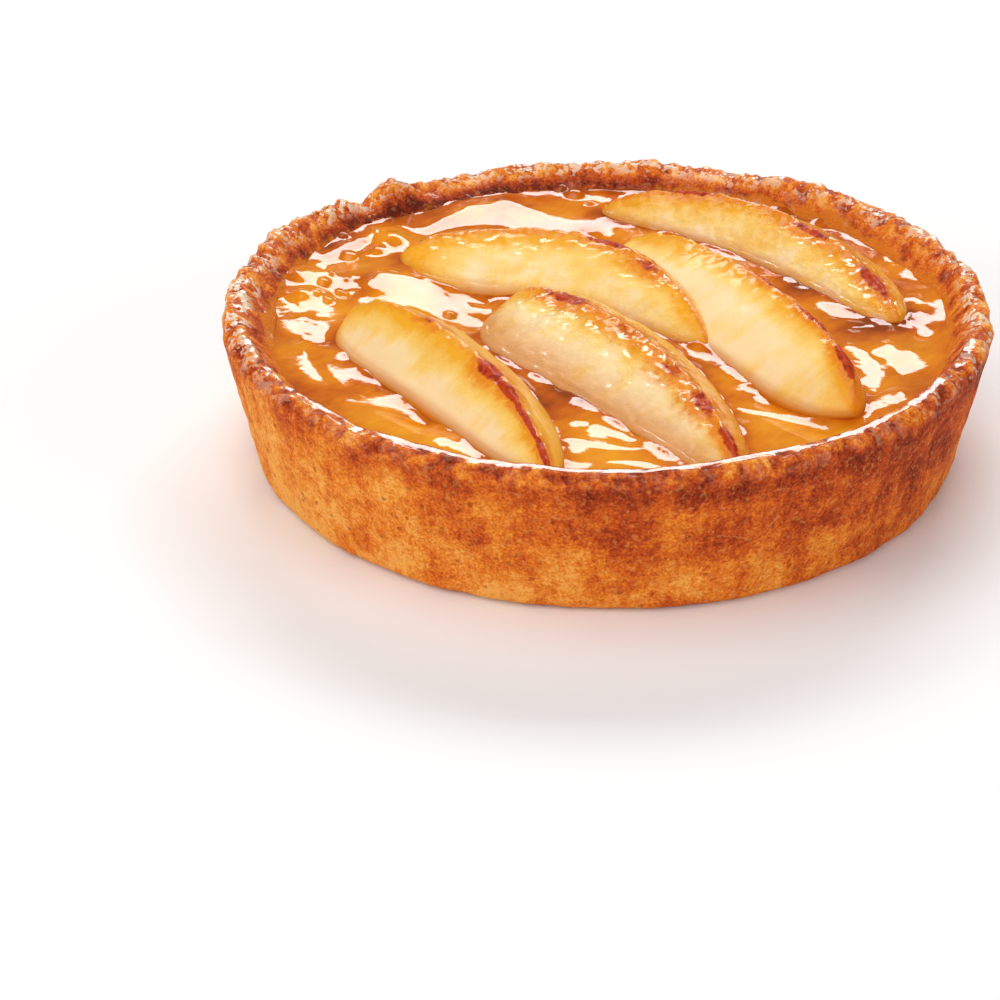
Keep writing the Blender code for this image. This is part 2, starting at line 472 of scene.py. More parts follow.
@dataclass(frozen=True)
class CrustFinish:
    """Baked short pastry: sandy and matt on the wall, wet on the rim with sugar flecks and painted glints.
    """

    pale: Colour = srgb(250, 176, 82)
    orange: Colour = srgb(234, 132, 38)
    brown: Colour = srgb(204, 88, 28)
    deep: Colour = srgb(158, 56, 22)
    burnt: Colour = srgb(98, 30, 14)
    sugar_glint: Colour = srgb(255, 238, 212)
    grain: Colour = srgb(246, 166, 92)
    film: Colour = srgb(224, 128, 26)
    patch_size: float = 5.5 * MM
    crumb_size: float = 1.0 * MM
    sand_size: float = 0.35 * MM
    drag_size: float = 1.3 * MM
    grain_size: float = 0.8 * MM
    pit_size: float = 1.7 * MM
    relief: float = 0.45 * MM

    def material(self) -> bpy.types.Material:
        """Mix the pastry's colours by how far each place is baked, with painted shade, painted light and
        painted glints.

        Returns:
            The baked crust.
        """
        mix = Recipe("baked_crust")
        glaze = mix.painted("glaze")
        dry = 1 - glaze
        patches = mix.mottle(self.patch_size, 3)
        crumbs = mix.mottle(self.crumb_size, 3)
        sand = mix.mottle(self.sand_size)
        drag = mix.mottle(self.drag_size, where=mix.stretched((1.0, 1.0, 0.1)))
        # The baked tone holds the browning, painted shade in the hollows and at the back, and painted
        # light on the wall.
        tone = mix.painted("baked") + patches.swing(0.3) + patches.above(0.4, 0.6).swing(0.16) * dry
        tone = tone + crumbs.swing(0.55) + sand.swing(0.8) + drag.swing(0.35) * dry
        steps = (self.pale, self.orange, self.brown, self.deep, self.burnt)
        colour = mix.ramp(tone, tuple(zip((0.0, 0.25, 0.5, 0.75, 1.0), steps)))
        # Pits: small hollows that the bump sinks, darkened with painted shade.
        cells = {"Vector": mix.place(), "Scale": 1 / self.pit_size, "Randomness": 1.0}
        distance = mix.node("ShaderNodeTexVoronoi", {}, cells, "Distance")
        pit_and_shade = distance.above(0.24, 0.12) * mix.mottle(4.0 * MM, 1).above(0.46, 0.58) * dry
        colour = mix.mix(pit_and_shade * 0.6, colour, self.deep)
        grain = mix.mottle(self.grain_size).above(0.56, 0.68) * dry
        colour = mix.mix(grain * 0.3, colour, self.grain)
        film = (mix.painted("film") + crumbs.swing(0.8)).above(0.3, 0.7)
        colour = mix.mix(film * 0.8, colour, self.film)
        # Pale flecks on the rim: sugar, and painted glints where the wet rim catches the light.
        sugar_glint_flecks = (mix.mottle(self.grain_size, 3) + mix.mottle(3.0 * MM, 1).swing(0.7)).above(0.51, 0.57)
        colour = mix.mix(mix.painted("sugar_glint") * sugar_glint_flecks * 0.85, colour, self.sugar_glint)
        height = crumbs * 0.7 + sand * 0.5 + grain * 0.2 - pit_and_shade * 0.4 + drag * 0.2
        return mix.finish({
            "Base Color": colour,
            "Roughness": 0.8 - glaze * 0.45,
            "Specular IOR Level": 0.12,
            "Coat Weight": mix.painted("shelf") + glaze * (0.06 + sugar_glint_flecks * 0.94),
            "Coat Roughness": 0.12,
            "Normal": mix.bump(height, self.relief),
        })


@dataclass(frozen=True)
class FillingFinish:
    """Set amber filling under a wet glaze."""

    dark: Colour = srgb(146, 62, 10)
    deep: Colour = srgb(198, 94, 14)
    amber: Colour = srgb(228, 134, 20)
    golden: Colour = srgb(244, 164, 36)
    custard: Colour = srgb(252, 194, 78)
    cloud_size: float = 7.0 * MM
    swirl_size: float = 2.2 * MM
    swirl_turn: float = math.radians(34)
    dimple_size: float = 2.4 * MM
    relief: float = 0.05 * MM

    def material(self) -> bpy.types.Material:
        """Mix the filling's colours by how light each place is.

        Returns:
            The amber filling.
        """
        mix = Recipe("amber_filling")
        clouds = mix.mottle(self.cloud_size, 3)
        swirl = mix.mottle(self.swirl_size, 3, mix.stretched((2.0, 0.6, 1.0), self.swirl_turn))
        tone = mix.painted("light") + clouds.swing(0.8) + swirl.swing(0.3)
        steps = (self.dark, self.deep, self.amber, self.golden, self.custard)
        return mix.finish({
            "Base Color": mix.ramp(tone, tuple(zip((0.0, 0.25, 0.5, 0.78, 1.0), steps))),
            "Roughness": 0.07,
            "IOR": 1.42,
            "Normal": mix.bump(mix.mottle(self.dimple_size), self.relief),
        })


@dataclass(frozen=True)
class AppleFinish:
    """Soft baked apple under a thin glaze, caramelised along its ridge."""

    cream: Colour = srgb(250, 220, 166)
    straw: Colour = srgb(248, 206, 112)
    gold: Colour = srgb(241, 170, 36)
    flank: Colour = srgb(243, 180, 66)
    soak_and_shade: Colour = srgb(206, 116, 28)
    toffee: Colour = srgb(228, 124, 24)
    caramel: Colour = srgb(188, 60, 14)
    burnt: Colour = srgb(148, 38, 12)
    fibre_size: float = 0.9 * MM
    fibre_pull: Triple = (1.0, 0.09, 1.0)
    cloud_size: float = 5.0 * MM
    freckle_size: float = 1.0 * MM
    fine_size: float = 0.4 * MM
    frost_size: float = 2.2 * MM
    relief: float = 0.25 * MM

    def material(self) -> bpy.types.Material:
        """Mix cream flesh, golden edges and caramel spots.

        Returns:
            The baked apple.
        """
        mix = Recipe("baked_apple")
        ridge = mix.painted("ridge")
        skin = mix.painted("skin")
        frost = mix.painted("frost")
        lie = mix.node("ShaderNodeUVMap", {"uv_map": "lie"}, {})
        fibres = mix.mottle(self.fibre_size, 3, mix.scaled(lie, self.fibre_pull))
        clouds = mix.mottle(self.cloud_size, 3)
        freckles = mix.mottle(self.freckle_size, 4)
        fine = mix.mottle(self.fine_size)
        yellow = ridge * 1.15 + mix.painted("gold") + clouds.swing(1.3) + fibres.swing(0.35)
        stops = ((0.0, self.cream), (0.35, self.straw), (0.9, self.gold))
        colour = mix.ramp(yellow + fine.swing(0.3), stops)
        colour = mix.mix(skin * 0.95, colour, mix.mix(clouds.above(0.4, 0.6), self.flank, self.gold))
        # Syrup colour at the waterline, partly painted contact shade, and painted shade down the low side
        # of the face.
        colour = mix.mix(mix.painted("sunk_and_shade") * 0.7, colour, self.soak_and_shade)
        halo = mix.painted("toffee") * (1 + freckles.swing(2.0) + fine.swing(0.6))
        colour = mix.mix(halo.above(0.12, 0.75) * 0.85, colour, self.toffee)
        charred = (mix.painted("caramel") * (1 + freckles.swing(1.1) + fine.swing(0.5))).above(0.4, 0.72)
        colour = mix.mix(charred, colour, mix.mix(freckles.above(0.48, 0.66), self.caramel, self.burnt))
        frosted = frost * mix.mottle(self.frost_size).above(0.42, 0.6)
        wet = (ridge * 0.6 + skin * 0.25 + frosted) * (1 - charred * 0.8)
        height = freckles * (0.15 + charred * 0.3) + fine * frost * 0.35 + fibres * 0.1 * (1 - charred)
        return mix.finish({
            "Base Color": colour,
            "Roughness": 0.52 - wet * 0.25,
            "Specular IOR Level": 0.15,
            "Coat Weight": wet * 0.6,
            "Coat Roughness": 0.1,
            "Subsurface Weight": 0.12,
            "Subsurface Radius": (1.0, 0.6, 0.25),
            "Subsurface Scale": 1.6 * MM,
            "IOR": 1.42,
            "Normal": mix.bump(height, self.relief),
        })


@dataclass
class TartCase:
    """The pastry case, on the same driving sizes as the solid it replaces.

    A swell has its azimuth and half-width in degrees and its size, which is in millimetres
    for the relief and a share for the colours. A layer has its height, size and seed.
    """

    top_radius: float = 52.4 * MM
    base_radius: float = 48.9 * MM
    crest_height: float = 20.7 * MM
    rim_width: float = 3.6 * MM
    rim_round: float = 1.7 * MM
    foot_radius: float = 1.6 * MM
    belly: float = 0.2 * MM
    lip_radius: float = 46.9 * MM
    lip_height: float = 17.9 * MM
    floor: float = 3.4 * MM
    well: tuple[Point, ...] = ((45.9 * MM, 15 * MM), (44.9 * MM, 5.2 * MM), (43.1 * MM, 3.4 * MM))
    side_rise: float = 0.9 * MM
    swells: Rows = (
        (90, 80, 0.45), (9, 5, 0.4), (32, 2.5, 0.5), (54, 6, 0.5), (69, 5, -0.5), (82, 4, 0.45),
        (102, 7, -0.3), (119, 8, -1.05), (131, 3.5, 1.0), (137.5, 3, -1.25), (146, 5, 0.35),
        (161, 4, 0.5), (171, 5, -0.3), (206, 8, -0.4), (232, 5, -0.5), (291, 7, 0.3),
    )
    bulges: Rows = ((178, 24, 1.7), (120, 16, 1.3), (240, 12, 0.4), (30, 20, 0.5))
    shelf: tuple[float, ...] = (49.2 * MM, 49.5 * MM, 50.5 * MM, 51.0 * MM)
    shelf_rise: float = 0.1 * MM
    shelf_lean: float = 0.04
    shelf_bend: float = 0.14
    lumps: tuple[Point, ...] = ((0.35, 9), (0.22, 3.6))
    rim_lumps: Point = (0.45, 4.5)
    crumbs: Rows = ((0.42, 2.1, 4), (0.28, 1.1, 5), (0.1, 0.6, 21))
    sandy: Rows = ((0.1, 1.5, 6), (0.08, 2.6, 7))
    wall_tones: Rows = ((0.10, 11, 8), (0.11, 5, 9))
    shaded: Rows = ((120, 50, 1.0),)
    filmed: Rows = ((180, 30, 1.0), (10, 40, 0.7), (55, 22, 0.8))
    sugar_glint_swells: Rows = ((187, 30, 1.0), (-5, 36, 0.85), (95, 34, 0.7), (142, 12, 0.6), (48, 16, 0.35))
    steps: int = 1000
    spacing: float = 0.5 * MM

    def profile(self) -> list[Point]:
        """The case's section from the middle of the base, over the rim and back inside.

        Returns:
            The section's points, which start and end on the axis.
        """
        foot_centre = (self.base_radius - self.foot_radius, self.foot_radius)
        foot = arc(foot_centre, (self.foot_radius, self.foot_radius), -90, -10, self.spacing)
        crest_centre = (self.top_radius - self.rim_width / 2, self.crest_height - self.rim_round)
        crest = arc(crest_centre, (self.rim_width / 2, self.rim_round), 8, 140, 0.2 * MM)
        wall = straight(foot[-1], crest[0], self.spacing)
        arch = [self.belly * math.sin(math.pi * (i + 1) / (len(wall) + 1)) for i in range(len(wall))]
        wall = [(radius + swell, height) for (radius, height), swell in zip(wall, arch)]
        lip = (self.lip_radius, self.lip_height)
        slope = straight(crest[-1], lip, 0.26 * MM)
        return [(0, 0), *foot, *wall, *crest, *slope, lip, *self.well, (0, self.floor)]

    @staticmethod
    def around(azimuth: Array, swells: Rows) -> Array:
        """Add up swells about the axis.

        Args:
            azimuth: where, in degrees.
            swells: each one's azimuth, half-width and size.

        Returns:
            Their sum at each azimuth.
        """
        total = np.zeros(len(azimuth))
        for centre, half_width, size in swells:
            away = (azimuth - centre + 180) % 360 - 180
            total += size * bell(away, 0, half_width)
        return total

    def is_inside(self, radius: Array, height: Array) -> Array:
        """Which places of the even case are on its inner side."""
        wall = self.base_radius + (self.top_radius - self.base_radius) * height / self.crest_height
        return radius < wall - self.rim_width / 2

    def lay_shelf(self, even: Array) -> Pair:
        """Find the smooth glazed shelf that lies along the inner edge of the front crest.

        Args:
            even: vertices of the even case.

        Returns:
            How much of the shelf each one belongs to, and how far it is to rise.
        """
        radius = np.hypot(even[:, 0], even[:, 1])
        height = even[:, 2]
        start, full, fade, end = self.shelf
        share = smoothstep(start, full, radius) * (1 - smoothstep(fade, end, radius))
        share *= smoothstep(self.lip_height, self.crest_height - self.rim_round, height)
        share *= smoothstep(0.1, 0.45, -even[:, 1] / np.maximum(radius, MM))
        out = radius - full
        bend = self.shelf_bend * np.abs(out) / (2 * (fade - full))
        top = self.crest_height + self.shelf_rise - (self.shelf_lean + bend) * out
        return share, top - height

    def roughen(self, points: Array) -> Array:
        """Give the turned case its uneven rim, its lumps and its sandy wall.

        Args:
            points: the even case's vertices.

        Returns:
            The moved vertices.
        """
        radius = np.hypot(points[:, 0], points[:, 1])
        shown = (points[:, 2] > 0.01 * MM) & (radius > self.lip_radius - 0.01 * MM)
        moved = points.copy()
        where = points[shown]
        height = where[:, 2]
        inside = self.is_inside(radius[shown], height)
        azimuth = np.degrees(np.arctan2(where[:, 1], where[:, 0]))
        shelf, sheer = self.lay_shelf(where)
        high = smoothstep(self.lip_height, self.crest_height, height)
        push = sum(depth * MM * bumps(where, size * MM) for depth, size in self.lumps)
        bulge = self.around(azimuth, self.bulges) * MM * (1 + 0.4 * ripples(where, 4 * MM, 3))
        push = np.where(inside, np.abs(push) * high - bulge * (1 - high), push)
        rise = self.side_rise * np.cos(np.radians(azimuth)) ** 2 + self.around(azimuth, self.swells) * MM
        depth, size = self.rim_lumps
        rise += depth * MM * bumps(where, size * MM) * (1 - 0.5 * shelf)
        rim = smoothstep(self.lip_height - 0.4 * MM, self.crest_height - 1.2 * MM, height)
        crumb = layered(where, self.crumbs) * (1 - 0.92 * shelf) * rim
        push += layered(where, self.sandy) + np.where(inside, 0.5, 0.6) * crumb
        moved[shown, :2] += where[:, :2] / radius[shown, None] * push[:, None]
        moved[shown, 2] += rise * high + shelf * sheer + crumb
        return moved

    def wall_tone(self, even: Array, azimuth: Array) -> Array:
        """How far the outer wall is baked, with painted light: palest where it faces the front left,
        browned under the rim.

        Args:
            even: the even case's vertices.
            azimuth: their azimuths in degrees.

        Returns:
            The tone of each one.
        """
        height = even[:, 2] / MM
        # Painted light: paler where the wall faces the front left and darker round to the right, partly
        # browning and partly painted shade.
        facing = np.cos(np.radians(azimuth + 150))
        tone = 0.43 - 0.24 * np.maximum(facing, -0.1) - 0.07 * smoothstep(11, 3, height)
        upper = smoothstep(5, 13, height + 3 * ripples(even, 9 * MM, 10))
        browned = (1 - smoothstep(0.6, 1.0, facing)) * (1 - 0.6 * smoothstep(0.3, 0.8, -facing))
        tone += layered(even, self.wall_tones, 1) + 0.20 * upper * browned
        return tone + 0.18 * smoothstep(15.2, 18.5, height)

    def dress(self, mesh: Mesh, even: Array) -> None:
        """Store how far each place is baked, with painted shade and light, how wet it is, and its sugar
        and painted glints.

        Args:
            mesh: the finished mesh.
            even: its vertices before they were roughened.
        """
        height = even[:, 2] / MM
        azimuth = np.degrees(np.arctan2(even[:, 1], even[:, 0]))
        inside = self.is_inside(np.hypot(even[:, 0], even[:, 1]), even[:, 2])
        front = smoothstep(0.1, 0.5, -np.sin(np.radians(azimuth)))
        back = self.around(azimuth, self.shaded)
        # Painted shade: darker in the hollows of the crumb relief, and on the inner slope towards the
        # back.
        hollow_shade = np.clip(-layered(even, self.crumbs) / (0.3 * MM), -1, 1)
        crest = 0.37 + 0.12 * front + 0.3 * hollow_shade
        slope = 0.46 + 0.56 * back + 0.2 * hollow_shade + 0.12 * ripples(even, 3.5 * MM, 12)
        blend = smoothstep(18.6, 20.0, height)
        wall = self.wall_tone(even, azimuth)
        paint(mesh, "baked", np.where(inside, slope, wall) * (1 - blend) + crest * blend)
        wet = smoothstep(18.6, 19.8, height) * (0.9 + 0.5 * ripples(even, 4 * MM, 13))
        wet = np.where(inside, np.maximum(wet, 0.6) * (1 - 0.6 * back), wet)
        paint(mesh, "glaze", np.clip(wet, 0, 1) * (1 - 0.6 * front))
        low = 1 - smoothstep(18.2, 19.6, height + 0.6 * ripples(even, 4 * MM, 22))
        paint(mesh, "film", inside * low * (0.35 + 0.6 * self.around(azimuth, self.filmed)))
        paint(mesh, "shelf", smoothstep(0.3, 0.8, self.lay_shelf(even)[0]))
        # Where the rim's crown gets sugar and painted glints: most at the left, then the right and the
        # back, least at the front.
        crown = smoothstep(19.3, 20.3, height + 0.5 * ripples(even, 3 * MM, 23))
        sugar_glint_share = self.around(azimuth, self.sugar_glint_swells)
        paint(mesh, "sugar_glint", np.clip(crown * sugar_glint_share * (1 - 0.5 * front), 0, 1))

    def build(self) -> None:
        """Make the case."""
        mesh = turned(Piece.CASE.value[0], self.profile(), self.steps)
        even = read_points(mesh)
        write_points(mesh, self.roughen(even))
        self.dress(mesh, even)
        mesh.materials.append(CrustFinish().material())
        settle(mesh, Piece.CASE, "pastry_case")


@dataclass(frozen=True)
class Spot:
    """A caramel spot on the ridge.

    Its place and half-length along the ridge are shares of half the ridge, its place and
    half-width across are in millimetres.
    """

    along: float
    length: float
    across: float = 0.0
    width: float = 1.2
    strength: float = 1.0


@dataclass
class AppleWedge:
    """One baked wedge, on the same driving sizes as the solid that it replaces.

    The plan of the ridge runs from start to end with a bow to its outer side. The sizes
    from start to rise are in millimetres, and a taper is the share gained from the middle
    to the end.
    """

    number: int
    start: Point
    end: Point
    bow: float
    inner: float
    outer: float
    rise: float
    blunt: Point
    inner_taper: float
    outer_taper: float
    rise_taper: float
    spots: tuple[Spot, ...] = ()
    gold: float = 0.0
    frost: float = 0.2
    low_face_shade: float = 0.0
    toasted: float = 0.4
    flank_starts: float = 1.04
    level: float = 17.8 * MM
    sink: float = 3.2 * MM
    wall: float = 46.9 * MM
    face_share: float = 0.42
    skin_share: float = 0.33
    waist: float = -0.5
    lumps: Point = (0.35, 5)
    waves: Rows = ((0.12, 2.6, 14),)
    crinkles: Rows = ((0.3, 1.7, 15), (0.14, 0.8, 16))
    fibres: Rows = ((0.02, 0.9, 17),)
    pearls: Rows = ((0.12, 1.4, 24), (0.05, 0.7, 26))
    around: int = 150
    rings: int = 230

    def section(self) -> Pair:
        """The wedge's outline across its length.

        Returns:
            The outline's shares of inner, outer, rise and sink as rows, and how far along the
            outline each row is: under 1 on the cut face, 1 to 2 on the skin side, 2 to 3 below.
        """
        face = int(self.around * self.face_share)
        skin = int(self.around * self.skin_share)
        counts = (face, skin, self.around - face - skin)
        marks = np.concatenate([side + np.arange(count) / count for side, count in enumerate(counts)])
        rows = []
        for mark in marks:
            share = mark % 1
            rest = 1 - share
            if mark < 1:
                rows.append((-rest, 0, share + 0.08 * math.sin(math.pi * share), 0))
            elif mark < 2:
                out = 1.6 * share * rest + share * share
                rows.append((0, out, rest * rest + 1.1 * share * rest, self.waist * share * share))
            else:
                angle = math.pi * share
                deep = self.waist + 0.4 * share - 0.52 * math.sin(angle) ** 0.7
                rows.append((min(math.cos(angle), 0) * 1.04, max(math.cos(angle), 0), 0, deep))
        outline = np.array(rows)
        for _ in range(2):
            outline = (np.roll(outline, 1, axis=0) + 2 * outline + np.roll(outline, -1, axis=0)) / 4
        return outline, marks

    def ridge(self, along: Array) -> Pair:
        """The ridge's plan.

        Args:
            along: places from -1 at the start to 1 at the end.

        Returns:
            The ridge's points and the unit vectors across it, to its outer side.
        """
        start = np.array(self.start) * MM
        end = np.array(self.end) * MM
        half = (end - start) / 2
        side = np.array([-half[1], half[0]]) / np.linalg.norm(half)
        side *= np.sign(side.sum())
        bow = self.bow * MM
        points = start + half * (1 + along[:, None]) + side * bow * (1 - along[:, None] ** 2)
        heading = half - 2 * bow * along[:, None] * side
        heading /= np.linalg.norm(heading, axis=1)[:, None]
        across = np.stack([-heading[:, 1], heading[:, 0]], axis=1)
        across *= np.sign(across @ side)[:, None]
        return points, across

    def swell(self, along: Array) -> Array:
        """How full the section is, from 0 at both tips to 1."""
        blunt = np.where(along < 0, self.blunt[0], self.blunt[1])
        return np.sqrt(np.clip(1 - np.abs(along) ** blunt, 0, 1))

    def sideways(self, along: Array, inner: Array | float, outer: Array | float) -> Array:
        """How far the surface is from the ridge's plan.

        Args:
            along: places from -1 at the start to 1 at the end.
            inner: the share of the inner width there, which is negative.
            outer: the share of the outer width there.

        Returns:
            The distances as a column.
        """
        inner = inner * self.inner * (1 + self.inner_taper * along)
        outer = outer * self.outer * (1 + self.outer_taper * along)
        return ((inner + outer) * MM * self.swell(along))[:, None]

    def shape(self, along: Array, turn: Array) -> Pair:
        """Places on the wedge's surface.

        Args:
            along: from -1 at the start to 1 at the end.
            turn: from 0 to 1 around the section.

        Returns:
            The points and their marks around the section.
        """
        outline, marks = self.section()
        steps = np.arange(len(marks) + 1) / len(marks)
        looped = np.vstack([outline, outline[:1]])
        inner, outer, rise, sink = (np.interp(turn, steps, looped[:, i]) for i in range(4))
        mark = np.interp(turn, steps, np.append(marks, 3.0))
        height = rise * self.rise * MM * (1 + self.rise_taper * along) + sink * self.sink
        points, across = self.ridge(along)
        plan = points + across * self.sideways(along, inner, outer)
        return np.column_stack([plan, self.level + height * self.swell(along)]), mark

    def soften(self, points: Array, mark: Array, along: Array) -> Array:
        """The hollows, fibres and crinkled ridge of baked fruit.

        Args:
            points: the smooth wedge's vertices.
            mark: their marks around the section.
            along: their places along the ridge.

        Returns:
            The moved vertices.
        """
        above = (points[:, 2] - self.level) / MM
        grain = np.column_stack([along * 26, mark * 2, np.full(len(mark), self.number * 9)]) * MM
        depth, size = self.lumps
        lift = layered(points, self.waves)
        lift += bell(mark, 1.0, 0.14) * layered(points, self.crinkles)
        lift += (mark < 1) * layered(grain, self.fibres)
        lift += (mark < 1.2) * min(1.6, 1.4 * self.frost) * layered(points, self.pearls)
        lift *= smoothstep(-0.5, 1.2, above)
        lift += depth * MM * bumps(points, size * MM) * (above > 0.5)
        moved = points.copy()
        moved[:, 2] += lift
        radius = np.hypot(moved[:, 0], moved[:, 1])
        limit = self.wall + np.clip(moved[:, 2] - self.level, 0, 3 * MM) * 0.9
        moved[:, :2] *= np.minimum(1.0, limit / np.maximum(radius, 1e-6))[:, None]
        return moved

    def dress(self, mesh: Mesh, mark: Array, along: Array, turn: Array) -> None:
        """Store the numbers that the apple's material reads.

        Args:
            mesh: the finished mesh.
            mark: the vertices' marks around the section.
            along: their places along the ridge.
            turn: their share of the way around the section.
        """
        across = (mark - 1) * np.where(mark < 1, self.inner, self.outer)
        caramel = np.zeros(len(mark))
        toffee = self.toasted * bell(across, 0, 1.6)
        for spot in self.spots:
            here = bell(along, spot.along, spot.length) * bell(across, spot.across, spot.width)
            halo = bell(along, spot.along, 1.5 * spot.length) * bell(across, spot.across, 2.1 * spot.width)
            caramel = np.maximum(caramel, here * spot.strength)
            toffee = np.maximum(toffee, halo * min(1.0, 1.2 * spot.strength))
        paint(mesh, "caramel", caramel * (mark < 2))
        paint(mesh, "toffee", toffee * (mark < 2))
        paint(mesh, "ridge", bell(across, 0, np.where(mark < 1, 3.4, 2.4)) * (mark < 2))
        paint(mesh, "skin", smoothstep(self.flank_starts, self.flank_starts + 0.16, mark))
        above = (read_points(mesh)[:, 2] - self.level) / MM
        # Painted shade darkens the low side of the face towards the filling, most on the second wedge; the
        # waterline band is partly soaking and partly painted contact shade.
        soak_and_shade = self.low_face_shade * (1 - smoothstep(0.2, 3.2, above))
        paint(mesh, "sunk_and_shade", np.maximum(1 - smoothstep(-0.1, 1.3, above), soak_and_shade))
        paint(mesh, "gold", self.gold + 0.5 * smoothstep(0.65, 1.0, np.abs(along)))
        paint(mesh, "frost", np.full(len(mark), self.frost))
        corner = np.empty(len(mesh.loops), dtype=np.int64)
        mesh.loops.foreach_get("vertex_index", corner)
        length = math.dist(self.start, self.end) * MM
        lie = np.column_stack([along * length / 2 + self.number * 0.1, turn * 24 * MM])
        layer = mesh.uv_layers.new(name="lie")
        layer.data.foreach_set("uv", lie[corner].astype(np.float32).ravel())

    def distance(self, plan: Array) -> Array:
        """How far points of the plan are from the line where the wedge meets the filling.

        Args:
            plan: the points as rows of x and y.

        Returns:
            One distance for each point.
        """
        there = np.linspace(-1, 1, 61)
        points, across = self.ridge(there)
        inner = points + across * self.sideways(there, -1, 0)
        outer = points + across * self.sideways(there, 0, 0.94)
        line = np.vstack([inner, outer[::-1], inner[:1]])
        return np.min([from_run(plan, start, end)[1] for start, end in zip(line, line[1:])], axis=0)

    def build(self, material: bpy.types.Material) -> None:
        """Make the wedge from a sphere whose meridians run along the ridge.

        Args:
            material: the baked apple.
        """
        bm = bmesh.new()
        bmesh.ops.create_uvsphere(bm, u_segments=self.around, v_segments=self.rings, radius=1.0)
        ball = np.array([vert.co for vert in bm.verts])
        along = -np.clip(ball[:, 2], -1, 1)
        turn = (np.arctan2(ball[:, 1], ball[:, 0]) / math.tau) % 1.0
        points, mark = self.shape(along, turn)
        for vert, point in zip(bm.verts, self.soften(points, mark, along)):
            vert.co = point
        mesh = to_mesh(f"wedge_{self.number}", bm)
        self.dress(mesh, mark, along, turn)
        mesh.materials.append(material)
        settle(mesh, Piece.WEDGE, f"apple_wedge_{self.number}", f"_{self.number}")


@dataclass(frozen=True)
class Glint:
    """A run of the wet surface that leans to the light, as a line drawn along it.

    Each point of the line is a pixel of the photograph, across and down, and half the run's
    width there in millimetres.
    """

    line: Rows
    ragged: float = 1.0

    @property
    def wobble(self) -> float:
        """How much of the ragged edge the run takes: a narrow one would break up under all of it."""
        mean = sum(half for _, _, half in self.line) / len(self.line)
        return self.ragged * min(1.0, mean / 1.5)

    def reach(self, plan: Array, level: float) -> Array:
        """How deep inside the run points of the plan are.

        Args:
            plan: the points as rows of x and y.
            level: the height that they lie at.

        Returns:
            One depth for each point, below 0 outside.
        """
        places = [np.append(VIEW.plan(across, down, level), half * MM) for across, down, half in self.line]
        deep = np.full(len(plan), -np.inf)
        for start, end in zip(places, places[1:]):
            share, away = from_run(plan, start[:2], end[:2])
            deep = np.maximum(deep, start[2] + (end[2] - start[2]) * share - away)
        return deep


@dataclass(frozen=True)
class WetSurface:
    """Heights of a set liquid that leans to the light in some runs and lies nearly flat elsewhere."""

    level: float
    half_size: float = 56.0 * MM
    count: int = 448
    rounds: int = 24
    stiffness: float = 5.0 * MM
    trim: float = 0.12 * MM
    blur: float = 0.2 * MM
    ragged: Rows = ((0.5, 2.6, 31), (0.35, 1.1, 32))

    @property
    def spacing(self) -> float:
        """How far the grid's points are apart."""
        return 2 * self.half_size / self.count

    def lean(self, plan: Array) -> Array:
        """The slopes along x and y that mirror the window to the viewer.

        Args:
            plan: points as rows of x and y.

        Returns:
            The two slopes at each point.
        """
        here = np.column_stack([plan, np.full(len(plan), self.level)])
        half = np.zeros(here.shape)
        for target in (VIEW.eye, WINDOW):
            ray = np.array(target) - here
            half += ray / np.linalg.norm(ray, axis=1)[:, None]
        return -half[:, :2] / half[:, 2:]

    def solve(self, glints: tuple[Glint, ...]) -> Array:
        """Fit heights to the slopes that are wanted inside the runs.

        Args:
            glints: the runs.

        Returns:
            A square grid of heights over the plan.
        """
        line = (np.arange(self.count) + 0.5) * self.spacing - self.half_size
        plan = np.stack(np.meshgrid(line, line, indexing="ij"), axis=-1).reshape(-1, 2)
        edge = layered(np.column_stack([plan, np.zeros(len(plan))]), self.ragged)
        deep = np.full(len(plan), -np.inf)
        for glint in glints:
            deep = np.maximum(deep, glint.reach(plan, self.level) + glint.wobble * edge)
        shape = (self.count, self.count)
        inside = smoothstep(-self.blur, self.blur, deep - self.trim).reshape(shape)
        wanted = self.lean(plan).T.reshape(2, *shape)
        wave = math.tau * np.fft.fftfreq(self.count, self.spacing)
        waves = np.stack(np.meshgrid(wave, wave, indexing="ij")) * 1j
        stiff = (waves.imag**2).sum(axis=0) + 1 / self.stiffness**2
        push = wanted * inside
        for _ in range(self.rounds):
            spectrum = -(waves * np.fft.fft2(push)).sum(axis=0) / stiff
            slopes = np.fft.ifft2(waves * spectrum).real
            push += inside * (wanted - slopes)
        return np.fft.ifft2(spectrum).real

    def heights(self, plan: Array, glints: tuple[Glint, ...]) -> Array:
        """Read the fitted heights at points of the plan.

        Args:
            plan: rows of x and y.
            glints: the runs.

        Returns:
            One height for each point.
        """
        grid = self.solve(glints)
        place = np.clip((plan + self.half_size) / self.spacing - 0.5, 0, self.count - 1.001)
        cell = place.astype(int)
        (px, py), (ix, iy) = (place - cell).T, cell.T
        near = grid[ix, iy] * (1 - py) + grid[ix, iy + 1] * py
        far = grid[ix + 1, iy] * (1 - py) + grid[ix + 1, iy + 1] * py
        return near * (1 - px) + far * px


